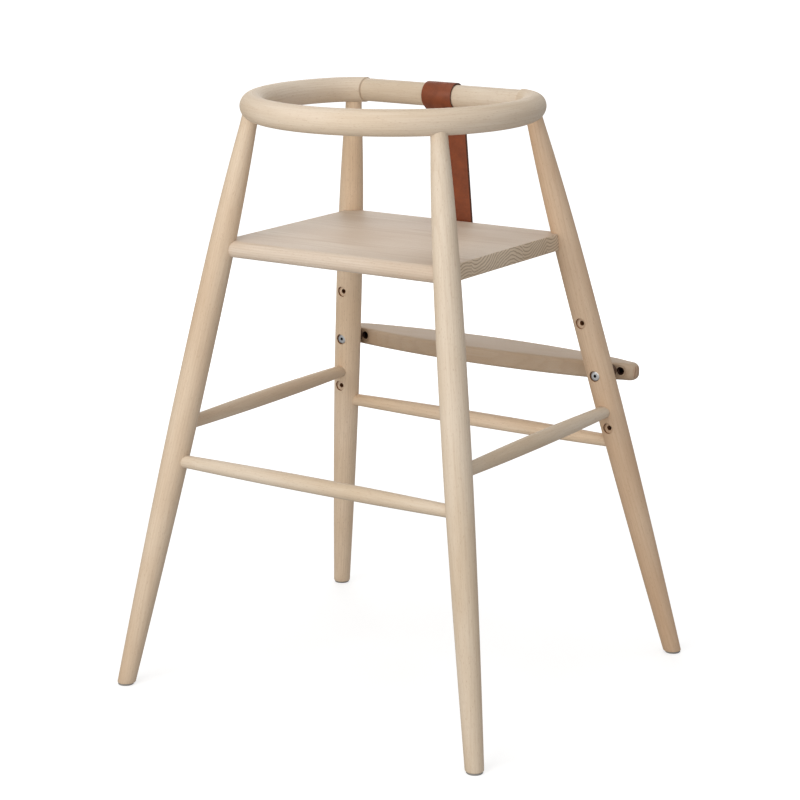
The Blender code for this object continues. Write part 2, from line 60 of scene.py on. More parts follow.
# The bent ring's middle line: a wide back arc and two tighter arcs that turn in to the bar.
# It is bent RING_SPARE_TURN too long, then sawn off within RING_SAW_REACH of the bar.
RING_R = 0.0165
RING_ARC_R = 0.178
RING_CENTRE_Y = 0.0226
RING_ARC_END = math.radians(29.5)
RING_TIGHT_R = 0.068
RING_TIGHT_TURN = math.radians(38.6)
RING_SPARE_TURN = math.radians(8)
RING_SAW_REACH = 0.03
RING_CHAMFER = 0.0006
RING_HEART = 0.012
RING_BACK_STEPS = 132
RING_TIGHT_STEPS = 24

# Safety bar and its dowel pins. The bar's ends are eased with one point part of the way round.
BAR_R = 0.0151
BAR_CHAMFER = 0.0008
BAR_CHAMFER_IN, BAR_CHAMFER_DOWN = 0.4, 0.25
PIN_R = 0.004
PIN_CHAMFER = 0.0006

# Turned legs, thickest at LEG_BELLY_Z
LEG_BELLY_R = 0.018
LEG_FOOT_R = 0.01175
LEG_TOP_R = 0.0104
LEG_BELLY_Z = 0.37
LEG_FOOT_TAPER = 1.5
LEG_TOP_TAPER = 3.2
LEG_SPARE = 0.005
LEG_STEPS = 36
FOOT_CHAMFER = 0.0015
REAR_LEG_ANGLE = math.radians(38.6)
FRONT_LEG_ANGLE = math.radians(54.4)
FRONT_LEG_OUTSET = 0.002

# Stretchers
STRETCHER_END_R = 0.0084
STRETCHER_MIDDLE_R = 0.01025
STRETCHER_PAST_AXIS = 0.003
STRETCHER_SHOULDER = 0.003
STRETCHER_STEPS = 20

# Seat
SEAT_EASE = 0.0012
SEAT_SCREW_DEPTH = 0.0165
SEAT_HEART_Y = 0.02
NOSE_STEPS = 20

# The holes in the front legs
COUNTERBORE_R = 0.00725
COUNTERBORE_DEPTH = 0.005
HOLE_EASE = 0.0004
COUNTERBORE_FLARE_START = -0.0012
COUNTERBORE_FLARE_END = 0.0006

# Footrest: its edges are rounded to FOOTREST_EDGE_R, and more over the last FOOTREST_END_RUN
FOOTREST_EDGE_R = 0.0055
FOOTREST_END_EDGE_R = 0.009
FOOTREST_END_RUN = 0.022
FOOTREST_SAGITTA = 0.020
FOOTREST_ARC_STEPS = 60
FOOTREST_END_STEPS = 26
FOOTREST_EDGE_STEPS = 12
FOOTREST_HEART_Y = 0.03
POCKET_LENGTH = 0.046
POCKET_HEIGHT = 0.020
POCKET_DEPTH = 0.0025
POCKET_STEPS = 20
INSERT_HOLE_SPARE = 0.002
SPACER_R = 0.009
SPACER_EDGE = 0.0004
SPACER_ROOM_STEP = 0.01

# Inserts, bolts, screws and glides
INSERT_EDGE = 0.0004
INSERT_FUNNEL = 0.0007
INSERT_LEAD = 0.0006
INSERT_THREAD_SHARE = 0.6
BOLT_R = 0.003
BOLT_CLEARANCE = 0.0003
BOLT_HEAD_R = 0.0065
BOLT_HEAD_THICKNESS = 0.0018
BOLT_HEAD_DOME = ((0, 0.0014), (0.00015, 0.0007), (0.0005, 0.00015), (0.0009, 0))
BOLT_TIP_SHARE = 0.6
BOLT_HEX_ACROSS = 0.004
BOLT_HEX_DEPTH = 0.0032
THREAD_PITCH = 0.001
THREAD_DEPTH = 0.0005
THREADED = 0.024
SCREW_R = 0.00175
SCREW_HEAD_R = 0.004
SCREW_HEAD_THICKNESS = 0.0022
SCREW_HEAD_DOME = ((0, 0.55), (0.12, 0.78), (0.4, 0.96), (0.7, 1), (1, 1))
SCREW_CORE_SHARE = 0.72
SCREW_POINT_R = 0.0002
SCREW_PLAIN_END = 0.002
SCREW_CROSS_ARM = 0.0021
SCREW_CROSS_HALF = 0.00045
SCREW_CROSS_DEPTH = 0.0014
GLIDE_R = 0.0105
GLIDE_HEIGHT = 0.0025
GLIDE_EDGE = ((0, 0.001), (0.0002, 0.0005), (0.0006, 0.0001), (0.001, 0), (GLIDE_HEIGHT, 0))

# Leather: LAYER is one layer with the air between it and the next
LAYER = 0.0022
LEATHER_THICKNESS = 0.0021
STRAP_WIDTH = 0.0445
STRAP_GAP = 0.0003
STRAP_BAR_GAP = 0.0004
STRAP_JOIN_DROP = 0.040
STRAP_JOIN_R = 0.014
STRAP_TAIL = 0.028
STRAP_EDGE = 0.0004
STRAP_JOIN_STEPS = 8

# How many sides a round piece has: a large one, a middling one, a small one and a hidden one
ROUND = 64
HOLE_ROUND = 48
SMALL_ROUND = 40
SCREW_ROUND = 24

# A face turned at least this much along an axis belongs to that side of its piece
FACING = 0.7
END_FACING = 0.75


# ---- Modelling by hand


def deselect():
    if bpy.context.object and bpy.context.object.mode != "OBJECT":
        bpy.ops.object.mode_set(mode="OBJECT")
    bpy.ops.object.select_all(action="DESELECT")


def work_on(obj):
    deselect()
    bpy.context.view_layer.objects.active = obj
    obj.select_set(True)


def edit(kind="VERT"):
    bpy.ops.object.mode_set(mode="EDIT")
    bpy.ops.mesh.select_mode(type=kind)


def select_where(obj, kind, test):
    """In edit mode, selects the vertices, edges or faces that pass a test."""
    edit(kind)
    bpy.ops.mesh.select_all(action="DESELECT")
    bpy.ops.object.mode_set(mode="OBJECT")
    items = {"VERT": obj.data.vertices, "EDGE": obj.data.edges, "FACE": obj.data.polygons}[kind]
    for item in items:
        item.select = test(item)
    edit(kind)


def single_point(name, place):
    """A new mesh object with one selected vertex, in edit mode, for drawing an outline from."""
    deselect()
    bpy.ops.mesh.primitive_plane_add(size=PAST, location=(0, 0, 0))
    obj = bpy.context.object
    obj.name = name
    edit()
    bpy.ops.mesh.select_all(action="SELECT")
    bpy.ops.mesh.merge(type="CENTER")
    bpy.ops.transform.translate(value=place)
    return obj


def draw_to(step):
    bpy.ops.mesh.extrude_region_move(TRANSFORM_OT_translate={"value": step})


def drawn_line(name, points):
    """A line of edges through these points, all selected, in edit mode."""
    obj = single_point(name, points[0])
    for here, there in zip(points, points[1:]):
        draw_to(there - here)
    bpy.ops.mesh.select_all(action="SELECT")
    return obj


def close_up():
    """Welds the seams of the piece in hand and turns its faces outwards."""
    edit()
    bpy.ops.mesh.select_all(action="SELECT")
    bpy.ops.mesh.remove_doubles(threshold=1e-6)
    bpy.ops.mesh.normals_make_consistent(inside=False)
    bpy.ops.object.mode_set(mode="OBJECT")


def put(obj, place):
    """Moves a piece to its place and leaves the object itself at the origin."""
    work_on(obj)
    obj.matrix_world = place
    bpy.ops.object.transform_apply(location=True, rotation=True, scale=True)
    return obj


def smooth(obj, degrees=32):
    work_on(obj)
    bpy.ops.object.shade_smooth_by_angle(angle=math.radians(degrees))
    return obj


def along(start, towards):
    turn = (towards - start).to_track_quat("Z", "Y").to_matrix().to_4x4()
    return Matrix.Translation(start) @ turn


def turned(name, profile, place, hollow=False, sides=ROUND):
    """A piece turned on a lathe: (height, radius) pairs, spun about Z."""
    points = [Vector((radius, 0, height)) for height, radius in profile]
    if not hollow:
        points = [Vector((0, 0, profile[0][0])), *points, Vector((0, 0, profile[-1][0]))]
    else:
        points.append(points[0])
    obj = drawn_line(name, points)
    bpy.ops.mesh.spin(steps=sides, angle=math.tau, center=(0, 0, 0), axis=(0, 0, 1))
    close_up()
    return put(obj, place)


def rod(name, start, end, radius, sides=ROUND):
    profile = [(0, radius), ((end - start).length, radius)]
    return turned(name, profile, along(start, end), sides=sides)


def apply_modifiers(obj):
    work_on(obj)
    for modifier in list(obj.modifiers):
        bpy.ops.object.modifier_apply(modifier=modifier.name)


def cut(obj, cutter, keep=False):
    """Cuts a piece with another, and throws the cutter away unless it is to be kept."""
    step = obj.modifiers.new("Cut", "BOOLEAN")
    step.object = cutter
    step.solver = "EXACT"
    apply_modifiers(obj)
    if not keep:
        bpy.data.objects.remove(cutter)


def bevel(obj, width, segments, degrees):
    step = obj.modifiers.new("Eased edges", "BEVEL")
    step.width = width
    step.segments = segments
    step.limit_method = "ANGLE"
    step.angle_limit = math.radians(degrees)
    apply_modifiers(obj)


def lay_grain(obj, to_grain):
    """Stores where each point lies in the piece's own timber, with Z along the grain."""
    store = obj.data.attributes.new("grain", "FLOAT_VECTOR", "POINT")
    values = []
    for vertex in obj.data.vertices:
        values.extend(to_grain(vertex.co))
    store.data.foreach_set("vector", values)


def stand_for(obj, node, body, slot, *materials):
    """Gives the finished piece its finish, and puts it in place of the model's plain solid."""
    for made in materials:
        obj.data.materials.append(made)
    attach(obj, body)
    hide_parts(node)


# ---- Where things are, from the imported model


def middle(node):
    low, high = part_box(node)
    return (low + high) / 2


def screw_foot(name):
    """The middle of a strap screw's lowest face."""
    node = f"strap_screw_{name}"
    return Vector((*middle(node).xy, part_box(node)[0].z))


RING_Z = middle("top_ring").z
BAR_Y = middle("safety_bar").y
INSERTS = ("inner", "middle", "outer")
INSERT_Z = middle("footrest_insert_left_middle").z
REST_LOW, REST_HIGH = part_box("footrest_board")
REST_BOLT_X = abs(middle("footrest_insert_left_middle").x)
REST_BEND = (REST_BOLT_X**2 + FOOTREST_SAGITTA**2) / (2 * FOOTREST_SAGITTA)
SEAT_LOW, SEAT_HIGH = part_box("seat_board")
SEAT_RADIUS = (SEAT_HIGH.z - SEAT_LOW.z) / 2
SEAT_NOSE = Vector((0, SEAT_LOW.y + SEAT_RADIUS, middle("seat_board").z))
# Puts an outline's X and Y along the chair's Y and Z, and its depth along X
SECTION = Matrix(((0, 0, 1, 0), (1, 0, 0, 0), (0, 1, 0, 0), (0, 0, 0, 1)))


def tight_centre(side):
    """The centre of the ring's tighter arc on one side."""
    reach = RING_ARC_R - RING_TIGHT_R
    x = side * reach * math.cos(RING_ARC_END)
    return Vector((x, RING_CENTRE_Y - reach * math.sin(RING_ARC_END), RING_Z))


def leg_line(end, name, side):
    """A leg's axis: from the floor under its glide to the middle of the ring's rod."""
    glide = middle(f"foot_glide_{end}_{name}")
    foot = Vector((glide.x, glide.y, 0))
    if end == "rear":
        centre, reach, turn = Vector((0, RING_CENTRE_Y, RING_Z)), RING_ARC_R, REAR_LEG_ANGLE
    else:
        centre, reach, turn = tight_centre(side), RING_TIGHT_R + FRONT_LEG_OUTSET, -FRONT_LEG_ANGLE
    return foot, centre + reach * Vector((side * math.cos(turn), math.sin(turn), 0))


LEGS = {(end, name): leg_line(end, name, side) for end in ENDS for name, side in SIDES}


def leg_point(end, name, height):
    foot, top = LEGS[end, name]
    return foot.lerp(top, height / RING_Z)


def leg_radius(height):
    top = RING_Z - RING_R
    if height < LEG_BELLY_Z:
        thin = ((LEG_BELLY_Z - height) / LEG_BELLY_Z) ** LEG_FOOT_TAPER
        return LEG_BELLY_R - (LEG_BELLY_R - LEG_FOOT_R) * thin
    thin = ((min(height, top) - LEG_BELLY_Z) / (top - LEG_BELLY_Z)) ** LEG_TOP_TAPER
    return LEG_BELLY_R - (LEG_BELLY_R - LEG_TOP_R) * thin


def leg_half_depth(name, height):
    """Half of a front leg's depth along Y at a height, where its axis leans."""
    foot, top = LEGS["front", name]
    return leg_radius(height) / math.sqrt(1 - (top - foot).normalized().y ** 2)


def bolt_heights(name):
    """The heights of the three holes in a front leg, where its axis is level with each insert."""
    foot, top = LEGS["front", name]
    found = []
    for where in ("outer", "middle", "inner"):
        insert = middle(f"footrest_insert_{name}_{where}")
        found.append(RING_Z * (insert.x - foot.x) / (top.x - foot.x))
    return found


def arc(centre, radius, start, end, steps):
    x, y = centre
    turns = [start + (end - start) * step / steps for step in range(steps + 1)]
    return [(x + radius * math.cos(turn), y + radius * math.sin(turn)) for turn in turns]


def screw_room(obj, reach):
    """Drills a piece for the shafts of the two strap screws, up to this far over their heads."""
    for name, _ in SIDES:
        seat = screw_foot(name) + Z_AXIS * SCREW_HEAD_THICKNESS
        top = seat + Z_AXIS * reach
        cut(obj, rod("screw_room", seat - Z_AXIS * PAST, top, SCREW_R + JOINT_GAP, SCREW_ROUND))


def drawn_board(name, outline, low, high, place=None):
    """A board with this outline in its XY plane, drawn point by point, filled and extruded."""
    points = [Vector((x, y, low)) for x, y in outline]
    obj = drawn_line(name, points)
    bpy.ops.mesh.edge_face_add()
    draw_to((0, 0, high - low))
    close_up()
    return put(obj, place or Matrix.Identity(4))


# ---- Finishes


def paint(code):
    """An sRGB hex colour as the linear colour that shaders take."""
    parts = [int(code[at : at + 2], 16) / 255 for at in (1, 3, 5)]
    linear = [c / 12.92 if c <= 0.04045 else ((c + 0.055) / 1.055) ** 2.4 for c in parts]
    return (*linear, 1)


def add(tree, kind, ins=(), **settings):
    """Adds a node with its settings, and with values or links on its inputs."""
    made = tree.nodes.new(kind)
    for name, value in settings.items():
        setattr(made, name, value)
    for socket, value in dict(ins).items():
        if isinstance(value, bpy.types.NodeSocket):
            tree.links.new(value, made.inputs[socket])
        else:
            made.inputs[socket].default_value = value
    return made


def new_finish(name):
    made = bpy.data.materials.new(name)
    made.use_nodes = True
    return made, made.node_tree, made.node_tree.nodes["Principled BSDF"]


def beech(name, pale, warm, late_wood, lines=0.16, end_grain=False, stave=0.0):
    """Beech, sanded fine and soaped: matt and pale, with faint year rings, short ray flecks along
    the grain and clouds of warmer wood. On end grain the rings are darker."""
    made, tree, shader = new_finish(name)
    place = add(tree, "ShaderNodeAttribute", attribute_name="grain").outputs["Vector"]
    heart = add(tree, "ShaderNodeCombineXYZ", {0: 0.038, 1: 0.024}).outputs[0]
    if stave:
        # a glued board: each stave is sawn from another log, with the heart 45 mm above or below it
        across = add(tree, "ShaderNodeSeparateXYZ", {0: place}).outputs["X"]
        count = add(tree, "ShaderNodeMath", {0: across, 1: stave}, operation="DIVIDE").outputs[0]
        count = add(tree, "ShaderNodeMath", {0: count}, operation="FLOOR").outputs[0]
        chance = add(tree, "ShaderNodeTexWhiteNoise", {"W": count}, noise_dimensions="1D")
        centre = {0: count, 1: -stave, 2: -stave / 2}
        centre = add(tree, "ShaderNodeMath", centre, operation="MULTIPLY_ADD").outputs[0]
        above = {0: chance.outputs["Value"]}
        above = add(tree, "ShaderNodeMath", above, operation="ROUND").outputs[0]
        above = add(tree, "ShaderNodeMapRange", {0: above, 3: -0.034, 4: 0.056}).outputs[0]
        heart = add(tree, "ShaderNodeCombineXYZ", {0: centre, 1: above}).outputs[0]
        shift = {0: chance.outputs["Color"], 1: (0.05, 0, 0.9), 2: place}
        place = add(tree, "ShaderNodeVectorMath", shift, operation="MULTIPLY_ADD").outputs[0]
        heart = add(tree, "ShaderNodeVectorMath", {0: heart, 1: (-0.025, 0, 0)}).outputs[0]
    # the rings wander a little along the grain
    at = {0: place, 1: (22, 22, 2.2)}
    at = add(tree, "ShaderNodeVectorMath", at, operation="MULTIPLY").outputs[0]
    wander = add(tree, "ShaderNodeTexNoise", {"Vector": at, "Scale": 1, "Detail": 3}).outputs[0]
    at = {0: place, 1: (1, 1, 0), 2: heart}
    at = add(tree, "ShaderNodeVectorMath", at, operation="MULTIPLY_ADD").outputs[0]
    radius = add(tree, "ShaderNodeVectorMath", {0: at}, operation="LENGTH").outputs["Value"]
    # year rings 3.4 mm apart, or 4.2 mm on end grain, so that they show
    years = {0: radius, 1: 1 / (0.0042 if end_grain else 0.0034)}
    years = add(tree, "ShaderNodeMath", years, operation="MULTIPLY").outputs[0]
    years = {0: wander, 1: 4, 2: years}
    years = add(tree, "ShaderNodeMath", years, operation="MULTIPLY_ADD").outputs[0]
    year = add(tree, "ShaderNodeMath", {0: years}, operation="FRACT").outputs[0]
    # fibres 1 mm across and 40 mm long: twice the real width, so that they show
    at = {0: place, 1: (1000, 1000, 900 if end_grain else 25)}
    at = add(tree, "ShaderNodeVectorMath", at, operation="MULTIPLY").outputs[0]
    fibre = add(tree, "ShaderNodeTexNoise", {"Vector": at, "Scale": 1, "Detail": 3}).outputs[0]
    # ray flecks 5 mm long and 0.8 mm wide: twice the real width, so that they show
    at = {0: place, 1: (1250, 1250, 200)}
    at = add(tree, "ShaderNodeVectorMath", at, operation="MULTIPLY").outputs[0]
    fleck = add(tree, "ShaderNodeTexNoise", {"Vector": at, "Scale": 1, "Detail": 1}).outputs[0]
    # clouds of warmer wood, about 60 mm across and 200 mm long
    at = {0: place, 1: (16, 16, 5)}
    at = add(tree, "ShaderNodeVectorMath", at, operation="MULTIPLY").outputs[0]
    cloud = add(tree, "ShaderNodeTexNoise", {"Vector": at, "Scale": 1, "Detail": 2}).outputs[0]
    cloud = add(tree, "ShaderNodeMapRange", {0: cloud, 1: 0.35, 2: 0.65}).outputs[0]
    colour = {0: cloud, 6: paint(pale), 7: paint(warm)}
    colour = add(tree, "ShaderNodeMix", colour, data_type="RGBA").outputs[2]
    layers = (
        (year, 0.45, 0.97, lines, late_wood),
        (fibre, 0.35, 0.75, 0.2, "#B4936E"),
        (fleck, 0.62, 0.74, 0.1 if end_grain else 0.3, "#A07852"),
    )
    for shape, start, full, most, tint in layers:
        share = {0: shape, 1: start, 2: full, 4: most}
        share = add(tree, "ShaderNodeMapRange", share, interpolation_type="SMOOTHSTEP").outputs[0]
        colour = {0: share, 6: colour, 7: paint(tint)}
        colour = add(tree, "ShaderNodeMix", colour, data_type="RGBA").outputs[2]
    rough = add(tree, "ShaderNodeMapRange", {0: fibre, 3: 0.48, 4: 0.64}).outputs[0]
    # fibres that the soap has raised by a few hundredths of a millimetre
    bump = {"Height": fibre, "Strength": 0.4, "Distance": 0.0001}
    bump = add(tree, "ShaderNodeBump", bump).outputs[0]
    tree.links.new(colour, shader.inputs["Base Color"])
    tree.links.new(rough, shader.inputs["Roughness"])
    tree.links.new(bump, shader.inputs["Normal"])
    shader.inputs["Specular IOR Level"].default_value = 0.35
    return made


def strap_leather(name, deep, light):
    """Vegetable-tanned cowhide, waxed: a soft sheen over a fine pebble, with lighter patches
    where the wax is rubbed thin."""
    made, tree, shader = new_finish(name)
    place = add(tree, "ShaderNodeTexCoord").outputs["Object"]
    # pebbles 0.7 mm across: about one and a half times the real size, so that they show
    pebble = {"Vector": place, "Scale": 1 / 0.0007, "Smoothness": 0.6}
    pebble = add(tree, "ShaderNodeTexVoronoi", pebble, feature="SMOOTH_F1").outputs["Distance"]
    # patches 15 mm across
    patch = {"Vector": place, "Scale": 1 / 0.015, "Detail": 4, "Roughness": 0.6}
    patch = add(tree, "ShaderNodeTexNoise", patch).outputs[0]
    share = add(tree, "ShaderNodeMapRange", {0: patch, 1: 0.25, 2: 0.8}).outputs[0]
    colour = {0: share, 6: paint(deep), 7: paint(light)}
    colour = add(tree, "ShaderNodeMix", colour, data_type="RGBA").outputs[2]
    valley = add(tree, "ShaderNodeMapRange", {0: pebble, 1: 0.3, 2: 0.7, 4: 0.3}).outputs[0]
    colour = {0: valley, 6: colour, 7: paint("#5A2C14")}
    colour = add(tree, "ShaderNodeMix", colour, data_type="RGBA").outputs[2]
    # creases across the strap, 4 mm apart
    at = {0: place, 1: (40, 250, 250)}
    at = add(tree, "ShaderNodeVectorMath", at, operation="MULTIPLY").outputs[0]
    crease = add(tree, "ShaderNodeTexNoise", {"Vector": at, "Scale": 1, "Detail": 2}).outputs[0]
    rough = add(tree, "ShaderNodeMapRange", {0: patch, 1: 0.3, 2: 0.7, 3: 0.62, 4: 0.48}).outputs[0]
    bump = {"Height": pebble, "Strength": 0.5, "Distance": -0.00012}
    bump = add(tree, "ShaderNodeBump", bump).outputs[0]
    bump = {"Height": crease, "Strength": 0.35, "Distance": 0.0006, "Normal": bump}
    bump = add(tree, "ShaderNodeBump", bump).outputs[0]
    tree.links.new(colour, shader.inputs["Base Color"])
    tree.links.new(rough, shader.inputs["Roughness"])
    tree.links.new(bump, shader.inputs["Normal"])
    shader.inputs["Specular IOR Level"].default_value = 0.5
    return made


def edge_paint(name):
    """Burnished and painted leather edge: darker than the face, smooth, the fibres just showing."""
    made, tree, shader = new_finish(name)
    place = add(tree, "ShaderNodeTexCoord").outputs["Object"]
    # fibres 0.25 mm across the strap and 1.1 mm round its edge
    at = {0: place, 1: (4000, 900, 900)}
    at = add(tree, "ShaderNodeVectorMath", at, operation="MULTIPLY").outputs[0]
    fibre = add(tree, "ShaderNodeTexNoise", {"Vector": at, "Scale": 1, "Detail": 3}).outputs[0]
    colour = {0: fibre, 6: paint("#3A1D10"), 7: paint("#6E3C22")}
    colour = add(tree, "ShaderNodeMix", colour, data_type="RGBA").outputs[2]
    bump = {"Height": fibre, "Strength": 0.4, "Distance": 0.0001}
    bump = add(tree, "ShaderNodeBump", bump).outputs[0]
    tree.links.new(colour, shader.inputs["Base Color"])
    tree.links.new(bump, shader.inputs["Normal"])
    shader.inputs["Roughness"].default_value = 0.5
    return made


def plated_steel(name, pale, dark, rough):
    """Zinc-plated or blackened steel: a metal with fine uneven blooms in its plating."""
    made, tree, shader = new_finish(name)
    place = add(tree, "ShaderNodeTexCoord").outputs["Object"]
    # blooms 1.5 mm across
    bloom = {"Vector": place, "Scale": 1 / 0.0015, "Detail": 4}
    bloom = add(tree, "ShaderNodeTexNoise", bloom).outputs[0]
    colour = {0: bloom, 6: paint(dark), 7: paint(pale)}
    colour = add(tree, "ShaderNodeMix", colour, data_type="RGBA").outputs[2]
    uneven = {0: bloom, 3: rough - 0.08, 4: rough + 0.1}
    uneven = add(tree, "ShaderNodeMapRange", uneven).outputs[0]
    bump = {"Height": bloom, "Strength": 0.15, "Distance": 0.00005}
    bump = add(tree, "ShaderNodeBump", bump).outputs[0]
    tree.links.new(colour, shader.inputs["Base Color"])
    tree.links.new(uneven, shader.inputs["Roughness"])
    tree.links.new(bump, shader.inputs["Normal"])
    shader.inputs["Metallic"].default_value = 1.0
    return made


def moulded_plastic(name, tone, speck, rough):
    """Moulded nylon or polythene: dull, even, with the fine spark-eroded grain of its mould."""
    made, tree, shader = new_finish(name)
    place = add(tree, "ShaderNodeTexCoord").outputs["Object"]
    # a mould grain of 0.25 mm
    grit = {"Vector": place, "Scale": 1 / 0.00025, "Detail": 2}
    grit = add(tree, "ShaderNodeTexNoise", grit).outputs[0]
    colour = {0: grit, 6: paint(tone), 7: paint(speck)}
    colour = add(tree, "ShaderNodeMix", colour, data_type="RGBA").outputs[2]
    bump = {"Height": grit, "Strength": 0.3, "Distance": 0.00004}
    bump = add(tree, "ShaderNodeBump", bump).outputs[0]
    tree.links.new(colour, shader.inputs["Base Color"])
    tree.links.new(bump, shader.inputs["Normal"])
    shader.inputs["Roughness"].default_value = rough
    return made


STAVE = 0.061
# each turned piece has its own tone: partly the wood's own, partly painted light and shade
# painted light: a lighter copy for the front-left leg and the front stretcher, which stand in shade
PAINTED_LIGHT_BEECH = beech("soaped_beech_painted_light", "#ECD6BC", "#E1C7A8", "#CBA988")
PALE_BEECH = beech("soaped_beech", "#DCCDB9", "#D0BDA4", "#BCA58A")
MIDDLE_BEECH = beech("soaped_beech_rosy", "#DDCAB2", "#D1B99E", "#BC9D80")
WARM_BEECH = beech("soaped_beech_warm", "#DCC1A4", "#CFAC8A", "#BC9471")
# painted shade: the walls of a drilled hole in dark brown, for the shade inside it
BORE_SHADE_BEECH = beech("bore_wall_painted_shade", "#93643E", "#7F512F", "#5E3A22", 0.4, True)
# steamed and bent in a form: even and a little greyer
BENT_BEECH = beech("steam_bent_beech", "#DFD0BD", "#D5C2A9", "#C0A78B")
# the seat, glued up from staves: plain on top, with strong rings on its sawn ends
BOARD_BEECH = beech("staved_beech_board", "#DACBBA", "#CFBCA8", "#B49B82", 0.22, stave=STAVE)
BOARD_END = beech("staved_beech_end_grain", "#DFCDB5", "#D3BEA3", "#86684E", 0.68, True, STAVE)
# the footrest: a darker board, its darkness painted shade from the seat above it; its rounded ends
# darker still, as end grain
REST_SHADE_BEECH = beech("footrest_beech_painted_shade", "#C0AD98", "#B49D84", "#9F866E")
REST_END = beech("footrest_end_grain", "#BFA58D", "#AE9078", "#7E5F45", 0.7, True)
# each leg's tone, matched leg by leg: partly the wood's own, partly painted light and shade
LEG_BEECH = {
    ("front", "left"): PAINTED_LIGHT_BEECH,
    ("front", "right"): WARM_BEECH,
    ("rear", "left"): MIDDLE_BEECH,
    ("rear", "right"): PALE_BEECH,
}
STRETCHER_BEECH = {
    "front": PAINTED_LIGHT_BEECH,
    "rear": PALE_BEECH,
    "left": MIDDLE_BEECH,
    "right": PALE_BEECH,
}
COGNAC = strap_leather("waxed_cognac_leather", "#743616", "#94481E")
LEATHER_EDGE = edge_paint("painted_leather_edge")
ZINC = plated_steel("zinc_plated_steel", "#DFE1E3", "#B2B5B8", 0.36)
# painted shade: dark steel for the hexagon socket, for the shade in its recess
SOCKET_SHADE_STEEL = plated_steel("socket_painted_shade_steel", "#57595C", "#3A3C3F", 0.5)
BLACK_STEEL = plated_steel("blackened_steel", "#4A352E", "#30211D", 0.42)
# painted shade: the spacer's mid-brown stands for the shade between leg and footrest
SPACER_SHADE_PLASTIC = moulded_plastic("shade_brown_moulded_nylon", "#5A4234", "#6B5141", 0.55)
GLIDE_PLASTIC = moulded_plastic("grey_moulded_polythene", "#8F8C88", "#A09D98", 0.5)


# ---- Pieces


def bent_rod(name, radius):
    """The ring's rod, bent a little too long: a round face swept along the three arcs."""
    centre = tight_centre(1)
    start = RING_ARC_END + RING_TIGHT_TURN + RING_SPARE_TURN
    where = centre + RING_TIGHT_R * Vector((math.cos(start), -math.sin(start), 0))
    deselect()
    bpy.ops.mesh.primitive_circle_add(
        vertices=ROUND,
        radius=radius,
        fill_type="NGON",
        location=where,
        rotation=(QUARTER, 0, -start),
    )
    bent = bpy.context.object
    bent.name = name
    bpy.ops.object.transform_apply(location=True, rotation=True, scale=True)
    edit("FACE")
    bpy.ops.mesh.select_all(action="SELECT")
    turns = (
        (centre, start - RING_ARC_END, RING_TIGHT_STEPS),
        (Vector((0, RING_CENTRE_Y, RING_Z)), math.pi + 2 * RING_ARC_END, RING_BACK_STEPS),
        (tight_centre(-1), start - RING_ARC_END, RING_TIGHT_STEPS),
    )
    for turning_point, turn, steps in turns:
        bpy.ops.mesh.spin(steps=steps, angle=turn, center=turning_point, axis=-Z_AXIS)
    close_up()
    return bent


def cut_off(obj, point, normal, part):
    """Saws a piece along a plane, through its faces that pass the test, and closes the cut."""
    select_where(obj, "FACE", part)
    bpy.ops.mesh.bisect(
        plane_co=point, plane_no=normal, use_fill=True, clear_outer=True, threshold=1e-7
    )
    bpy.ops.object.mode_set(mode="OBJECT")


def ease_rim(obj, width, segments, test):
    """Rounds the edges whose two ends pass the test."""
    points = obj.data.vertices
    select_where(obj, "EDGE", lambda edge: all(test(points[at].co) for at in edge.vertices))
    bpy.ops.mesh.bevel(offset=width, segments=segments, affect="EDGES", clamp_overlap=True)
    bpy.ops.object.mode_set(mode="OBJECT")


def make_ring():
    """The bent ring, its two ends sawn off square to the bar."""
    ring = bent_rod("bent_ring", RING_R)
    joint_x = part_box("safety_bar")[1].x + JOINT_GAP
    reach = BAR_Y + RING_SAW_REACH
    for _, side in SIDES:
        saw_x = side * joint_x

        def near_end(face):
            return face.center.y < reach and face.center.x * side > 0

        def on_cut(point):
            return point.y < reach and abs(point.x - saw_x) < TOUCHING

        cut_off(ring, Vector((saw_x, BAR_Y, RING_Z)), Vector((-side, 0, 0)), near_end)
        ease_rim(ring, RING_CHAMFER, 2, on_cut)
    smooth(ring)

    def to_grain(point):
        """Across the rod, up it, and along its middle line."""
        turn = math.atan2(point.x, point.y - RING_CENTRE_Y)
        straight_ahead = QUARTER + RING_ARC_END
        out = math.hypot(point.x, point.y - RING_CENTRE_Y) - RING_ARC_R
        run = turn * RING_ARC_R
        if abs(turn) > straight_ahead:
            side = math.copysign(1, turn)
            centre = tight_centre(side)
            offset = Vector((point.x - centre.x, point.y - centre.y))
            turn = math.atan2(offset.x * side, offset.y) - straight_ahead
            out = offset.length - RING_TIGHT_R
            run = side * (straight_ahead * RING_ARC_R + turn * RING_TIGHT_R)
        return out + RING_HEART, point.z - RING_Z, run

    lay_grain(ring, to_grain)
    stand_for(ring, "top_ring", "frame", "wood", BENT_BEECH)


def straight_grain(place, number):
    """The grain of a straight turned piece: along its axis, each from its own part of the log."""
    into = place.inverted()
    aside = 0.009
    along_log = 0.83 * number
    shift = (aside * math.sin(2.4 * number), aside * math.cos(1.7 * number), along_log)
    shift = Vector(shift)
    return lambda point: into @ point + shift


def make_bar():
    low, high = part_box("safety_bar")
    length = high.x - low.x
    part_in, part_r = BAR_CHAMFER * BAR_CHAMFER_IN, BAR_R - BAR_CHAMFER * BAR_CHAMFER_DOWN
    end = [(0, BAR_R - BAR_CHAMFER), (part_in, part_r), (BAR_CHAMFER, BAR_R)]
    profile = end + [(length - height, radius) for height, radius in reversed(end)]
    place = along(Vector((low.x, BAR_Y, RING_Z)), Vector((high.x, BAR_Y, RING_Z)))
    bar = smooth(turned("turned_bar", profile, place))
    lay_grain(bar, straight_grain(place, 9))
    stand_for(bar, "safety_bar", "frame", "wood", PALE_BEECH)


